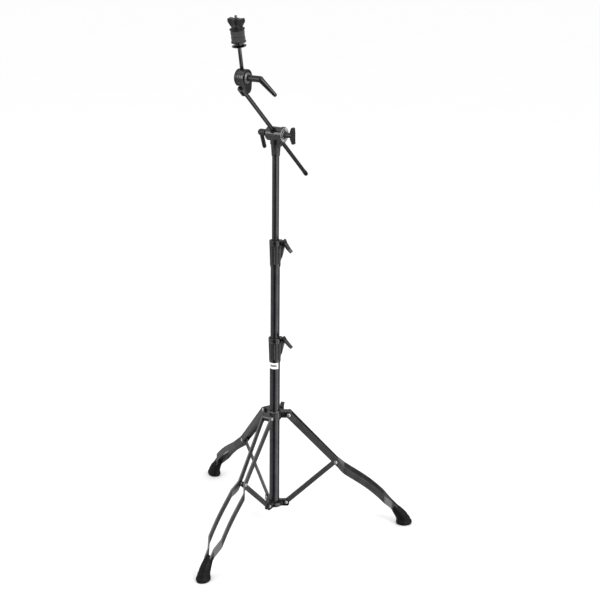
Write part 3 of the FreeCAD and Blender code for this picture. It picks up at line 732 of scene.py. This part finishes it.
# ---- boom clamp and tilter ----
def toothed_plate():
    """Pale plate with radial teeth on its outer face and a raised hub ring."""
    node = "boom_ratchet_plate"
    low, high = span(node, BOOM_CENTRE, BOOM_SIDE)
    wide = reach(node, BOOM_CENTRE, BOOM_SIDE)
    teeth = 60
    matrix = at(BOOM_CENTRE, BOOM_SIDE, UP)
    bm = bmesh.new()
    outline = rounded([(PLATE_BORE_R, low), (wide, low), (wide, high - 0.4), (wide - 0.4, high),
                       (wide - 7, high), (wide - 7.6, high - 0.8), (10.5, high - 0.8), (10.0, high),
                       (PLATE_BORE_R, high)], 0.3, True, 2)
    lathe(bm, outline, matrix, closed=True, segments=teeth * 4)
    inverse = matrix.inverted()
    for vertex in bm.verts:
        local = inverse @ vertex.co
        radius = math.hypot(local.x, local.y)
        if local.z > high - 0.3 and wide - 7.2 < radius:
            phase = math.atan2(local.y, local.x) * teeth / (2 * math.pi) % 1.0
            local.z -= 0.7 * abs(2 * phase - 1)
            vertex.co = matrix @ local
    return piece(node, "finished", mesh_from(bm, node))


def washer_plate():
    """Pale washer beside the tilter, stepped and with a chamfered rim."""
    node = "tilter_plate"
    low, high = span(node, TILTER_CENTRE, BOOM_SIDE)
    wide = reach(node, TILTER_CENTRE, BOOM_SIDE)
    outline = [(PLATE_BORE_R, low), (wide, low), (wide, high - 0.5), (wide - 0.6, high),
               (wide - 2.4, high), (wide - 2.8, high - 0.4), (9.6, high - 0.4), (9.2, high),
               (PLATE_BORE_R, high)]
    return turned(node, "finished", outline, at(TILTER_CENTRE, BOOM_SIDE), radius=0.2, closed=True)


def boom_bar():
    """Boom rod with rounded ends, and the rubber cap on its tail."""
    low, high = span("boom_rod", BOOM_CENTRE, BOOM_LINE)
    wide = reach("boom_rod", BOOM_CENTRE, BOOM_LINE)
    turned("boom_rod", "finished", [(0, low), (wide, low), (wide, high), (0, high)],
           at(BOOM_CENTRE, BOOM_LINE), radius=0.8)
    low, high = span("boom_rod_cap", BOOM_CENTRE, BOOM_LINE)
    wide = reach("boom_rod_cap", BOOM_CENTRE, BOOM_LINE)
    outline = [(0, low), (wide * 0.45, low + 0.4), (wide * 0.8, low + 1.8), (wide, low + 4.6),
               (wide, low + 8), (wide - 0.3, low + 8.4), (wide - 0.3, low + 9.2), (wide, low + 9.6),
               (wide, high - 1), (wide - 0.4, high), (0, high)]
    turned("boom_rod_cap", "finished", outline, at(BOOM_CENTRE, BOOM_LINE), radius=0.7)


def boom_castings():
    """The boom clamp's yoke and barrel."""
    low, high = span("boom_barrel", BOOM_CENTRE, BOOM_SIDE)
    wide = reach("boom_barrel", BOOM_CENTRE, BOOM_SIDE)
    sideways = at(BOOM_CENTRE, BOOM_SIDE, BOOM_AHEAD)
    seam = block_shape((wide - 1.8, -0.8, low + 5), (wide + 3, 0.8, high - 2), sideways)
    rear_seam = block_shape((-wide - 3, -0.8, low + 5), (1.8 - wide, 0.8, high - 2), sideways)
    groove = ring_shape(wide - 1.0, wide + 3, low + 5.2, low + 6.4, sideways)
    casting("boom_barrel", COARSE, 4, cuts=[seam, rear_seam, groove])
    foot = span("boom_yoke", COLUMN, UP)[0]
    flutes = [flute_shape(turn, 2.6, (13.0, foot + 6), (14.6, foot + 22)) for turn in range(-4, 356, 45)]
    casting("boom_yoke", COARSE, 3, cuts=flutes)
    casting("boom_bush", COARSE, 2)


def tilter_castings():
    """The tilter's two halves: the turning one has a dished face with a boss."""
    low = span("tilter_drum", TILTER_CENTRE, BOOM_SIDE)[0]
    sideways = at(TILTER_CENTRE, BOOM_SIDE, BOOM_AHEAD)
    dish = ring_shape(8.5, 16.0, low - 3, low + 1.8, sideways)
    rim = ring_shape(20.2, 25.0, low + 7.0, low + 9.4, sideways)
    bands = [ring_shape(20.6, 25.0, low + place, low + place + 1.4, sideways) for place in (3.2, 13.6)]
    casting("tilter_drum", COARSE, 3, cuts=[dish, rim, *bands])
    casting("tilter_base", COARSE, 4)


# ---- cymbal seat ----
def threaded_post():
    """Cymbal post with a real thread above its shoulder."""
    matrix = at(TILTER_CENTRE, POST_LINE, BOOM_SIDE)
    low, high = span("cymbal_post", TILTER_CENTRE, POST_LINE)
    wide = reach("cymbal_post", TILTER_CENTRE, POST_LINE)
    shoulder = span("cymbal_seat", TILTER_CENTRE, POST_LINE)[1] - 4
    segments = 48
    bm = bmesh.new()
    rings = []

    def add_ring(height, radius_at):
        ring = []
        for step in range(segments):
            turn = 2 * math.pi * step / segments
            radius = radius_at(turn)
            place = Vector((radius * math.cos(turn), radius * math.sin(turn), height))
            ring.append(bm.verts.new(matrix @ place))
        rings.append(ring)

    def thread_radius(height):
        fade = min(1.0, (height - shoulder) / 2)

        def radius_at(turn):
            phase = (height / THREAD_PITCH - turn / (2 * math.pi)) % 1.0
            runout = THREAD_DEPTH * (1 - fade) * 0.9
            return THREAD_R - runout - THREAD_DEPTH * fade * abs(2 * phase - 1)
        return radius_at

    def add_plain(rows):
        for height, radius in rows:
            add_ring(height, lambda turn: radius)

    add_plain(((low, wide - 0.6), (low + 0.6, wide), (shoulder - 0.6, wide), (shoulder, wide - 0.6)))
    end = high - POST_TIP
    steps = round((end - shoulder) / THREAD_PITCH * 8)
    for step in range(steps + 1):
        height = shoulder + (end - shoulder) * step / steps
        add_ring(height, thread_radius(height))
    add_plain(((end + 0.1, POST_TIP_R), (high - 1, POST_TIP_R), (high - 0.3, POST_TIP_R - 0.6),
               (high, POST_TIP_R - 1.0)))
    skin(bm, rings, segments)
    return piece("cymbal_post", "finished", mesh_from(bm, "post"))


def cup_seat():
    """Flanged sleeve under the felts, with a dished washer on top."""
    low, high = span("cymbal_seat", TILTER_CENTRE, POST_LINE)
    wide = reach("cymbal_seat", TILTER_CENTRE, POST_LINE)
    outline = [(4.9, low), (10, low), (16.5, low + 0.6), (wide - 0.5, low + 1.6),
               (wide - 0.5, low + 2.6), (11, low + 4.6), (9.5, low + 6), (9.5, high - 5),
               (12, high - 3.6), (wide - 0.6, high - 2.6), (wide, high - 1.8), (wide, high),
               (wide - 0.8, high), (wide - 1.4, high - 0.5), (4.9, high - 0.5)]
    return turned("cymbal_seat", "finished", outline, at(TILTER_CENTRE, POST_LINE), radius=0.7, closed=True)


def stack_washer():
    """Stepped washer over the upper felt."""
    low, high = span("cymbal_washer", TILTER_CENTRE, POST_LINE)
    wide = reach("cymbal_washer", TILTER_CENTRE, POST_LINE)
    outline = [(4.5, low), (wide, low), (wide, low + 1.8), (wide - 1, low + 2.3), (14.6, low + 2.9),
               (14, low + 3.6), (14, high - 0.4), (13.5, high), (4.5, high)]
    return turned("cymbal_washer", "finished", outline, at(TILTER_CENTRE, POST_LINE), closed=True)


def felt(node, seed):
    """Felt washer: soft crown, slight bulge and a surface of tangled fibres."""
    low, high = span(node, TILTER_CENTRE, POST_LINE)
    wide = reach(node, TILTER_CENTRE, POST_LINE) - 0.35
    bore, soft, rows = 4.6, 2.2, 14
    matrix = at(TILTER_CENTRE, POST_LINE, BOOM_SIDE)
    outline = [(bore, low + 0.2), (bore + 4.5, low + 0.05), (bore + 9, low + 0.05)]
    for step in range(rows + 1):
        part = step / rows
        height = low + 0.1 + (high - low - 0.2) * part
        edge = min(height - low, high - height)
        dip = soft * (1 - math.sqrt(max(0.0, 1 - (1 - min(1.0, edge / soft)) ** 2)))
        outline.append((wide - dip * 0.75 - 0.35 * (2 * part - 1) ** 2, height))
    outline += [(bore + 9, high - 0.05), (bore + 4.5, high - 0.05), (bore, high - 0.2)]
    bm = bmesh.new()
    lathe(bm, outline, matrix, closed=True, segments=128)
    bmesh.ops.subdivide_edges(bm, edges=bm.edges, cuts=1, use_grid_fill=True)
    shift = Vector((seed * 7.3, seed * 3.1, seed * 5.7))
    bm.normal_update()
    for vertex in bm.verts:
        lumps = noise.noise(vertex.co * 220 + shift)
        fibres = noise.fractal(vertex.co * 1400 + shift, 0.8, 2.1, 4)
        vertex.co += vertex.normal * ((0.16 * lumps + 0.10 * fibres) * MM)
    made = piece(node, "felt", mesh_from(bm, node))
    return made


# ---- camera, light and floor ----
CAMERA_PLACE = COLUMN + Vector((0, -3.5, 1.8254))
CAMERA_TURNS = (-1.1203, 71.919, 0.5917)  # heading, tilt up from straight down, roll, in degrees
LENS, SENSOR = 80.3, 36
SOFTBOXES = (  # name, place, target, width, height, watts
    ("key", (1.9, -2.2, 2.6), (0, 0, 0.8), 1.2, 1.6, 45),
    ("fill", (-2.4, -1.6, 1.9), (0, 0, 0.7), 1.2, 1.6, 22),
)
SOFT_LIGHT = 1.045  # strength of the white world for the camera and for soft light
# what gloss mirrors: strengths low and high, and between which heights of the direction they change
OVERHEAD = (0.30, 0.9, 0.1, 0.95)
UNDERFOOT = (0.3, 1.0, -1.0, -0.82)
FRONT_SHADE = (-96, 42, -0.18)  # darker strip behind the camera: heading, half width, strength
REFLECTED = (  # strips that the metal mirrors: heading, half width in degrees, strength
    (-40, 40, 1.15), (-15, 16, 1.0), (-176, 52, 0.45),
)


def camera():
    """Camera at the height and the side that the stand is looked at from."""
    data = bpy.data.cameras.new("camera")
    data.lens = LENS
    data.sensor_width = SENSOR
    made = bpy.data.objects.new("camera", data)
    heading, tilt, roll = (math.radians(turn) for turn in CAMERA_TURNS)
    turn = Matrix.Rotation(heading, 4, "Z") @ Matrix.Rotation(tilt, 4, "X") @ Matrix.Rotation(roll, 4, "Z")
    made.matrix_world = Matrix.Translation(CAMERA_PLACE) @ turn
    bpy.context.scene.collection.objects.link(made)
    bpy.context.scene.camera = made


def softbox(name, place, target, width, height, power):
    """Rectangular light at a place, turned to a target."""
    data = bpy.data.lights.new(name, "AREA")
    data.shape = "RECTANGLE"
    data.size = width
    data.size_y = height
    data.energy = power
    made = bpy.data.objects.new(name, data)
    made.location = place
    made.rotation_euler = (Vector(target) - Vector(place)).to_track_quat("-Z", "Y").to_euler()
    bpy.context.scene.collection.objects.link(made)


def studio_floor():
    """Pale floor that soft light falls on and mirrors don't see."""
    bm = bmesh.new()
    bmesh.ops.create_grid(bm, x_segments=8, y_segments=8, size=40)
    material = bpy.data.materials.new("studio_floor")
    material.use_nodes = True
    tree = material.node_tree
    tone = blended(tree, grain(tree, 3, 3), (0.93, 0.93, 0.93), (0.95, 0.95, 0.95))
    tree.links.new(tone, tree.nodes["Principled BSDF"].inputs["Base Color"])
    tree.nodes["Principled BSDF"].inputs["Roughness"].default_value = 0.9
    tree.nodes["Principled BSDF"].inputs["Specular IOR Level"].default_value = 0.0
    mesh = mesh_from(bm, "studio_floor")
    mesh.materials.append(material)
    made = bpy.data.objects.new("studio_floor", mesh)
    made.location.z = -0.0002
    made.visible_glossy = False
    bpy.context.scene.collection.objects.link(made)


def wedge(tree, flat, heading, width, strength):
    """Light from one heading, as an upright strip with soft sides."""
    turn = math.radians(heading)
    toward = (math.cos(turn), math.sin(turn), 0)
    alike = add(tree, "VectorMath", {0: flat, 1: toward}, operation="DOT_PRODUCT").outputs["Value"]
    inner = math.cos(math.radians(width * 0.75))
    outer = math.cos(math.radians(width))
    inputs = {"Value": alike, "From Min": outer, "From Max": inner, "To Min": 0.0, "To Max": strength}
    return add(tree, "MapRange", inputs, interpolation_type="SMOOTHSTEP").outputs["Result"]


def studio_world():
    """White for the camera and for soft light; strips of light for reflections."""
    world = bpy.data.worlds.new("studio")
    bpy.context.scene.world = world
    world.use_nodes = True
    world.cycles.sampling_method = "NONE"
    tree = world.node_tree
    direction = add(tree, "TexCoord").outputs["Generated"]
    parts = add(tree, "SeparateXYZ", {"Vector": direction}).outputs
    level = add(tree, "CombineXYZ", {"X": parts["X"], "Y": parts["Y"]}).outputs["Vector"]
    flat = add(tree, "VectorMath", {0: level}, operation="NORMALIZE").outputs["Vector"]
    total = between(tree, parts["Z"], *OVERHEAD)
    for heading, width, strength in (FRONT_SHADE, *REFLECTED):
        strip = wedge(tree, flat, heading, width, strength)
        total = add(tree, "Math", {0: total, 1: strip}, operation="ADD").outputs["Value"]
    lit = between(tree, parts["Z"], *UNDERFOOT)
    total = add(tree, "Math", {0: total, 1: lit}, operation="MULTIPLY").outputs["Value"]
    glossy = add(tree, "LightPath").outputs["Is Glossy Ray"]
    strength = add(tree, "Mix", {0: glossy, 2: SOFT_LIGHT, 3: total}).outputs[0]
    background = tree.nodes["Background"]
    background.inputs["Color"].default_value = (1, 1, 1, 1)
    tree.links.new(strength, background.inputs["Strength"])


def studio():
    studio_floor()
    studio_world()
    for box in SOFTBOXES:
        softbox(*box)
    bpy.context.scene.view_settings.view_transform = "Standard"


# ---- the stand ----
def column():
    for node in ("lower_tube", "middle_tube", "top_tube"):
        column_tube(node)
    tube_cap()
    bevelled("label_band", "film", 0.05)
    clamp_bush("lower_clamp_bush", "middle_tube")
    clamp_bush("upper_clamp_bush", "top_tube")
    for name in ("lower", "upper"):
        clamp_casting(name + "_clamp")
        bevelled(name + "_clamp_nut", "finished", 0.6)
        casting(name + "_clamp_bolt", FINE, 5)


def tripod():
    collar_casting()
    casting("leg_collar_bolt", FINE, 5)
    casting("tripod_hub", COARSE, 3)
    tripod_rivets()
    for leg in LEGS:
        bevelled("leg_{}_bars".format(leg), "finished", 0.8, "leg_plating")
        bevelled("strut_{}".format(leg), "finished", 0.8, "leg_plating")
        bevelled("strut_{}_bushes".format(leg), "finished", 0.3)
        foot_boot(leg)


def boom():
    boom_castings()
    toothed_plate()
    casting("boom_lever", MEDIUM, 5)
    casting("boom_wing_nut", MEDIUM, 5)
    boom_bar()
    tilter_castings()
    washer_plate()
    casting("tilter_lever", MEDIUM, 5)


def cymbal_end():
    threaded_post()
    cup_seat()
    felt("cymbal_felt_lower", 1)
    felt("cymbal_felt_upper", 2)
    stack_washer()
    casting("cymbal_wing_nut", FINE, 4)


camera()
studio()
column()
tripod()
boom()
cymbal_end()
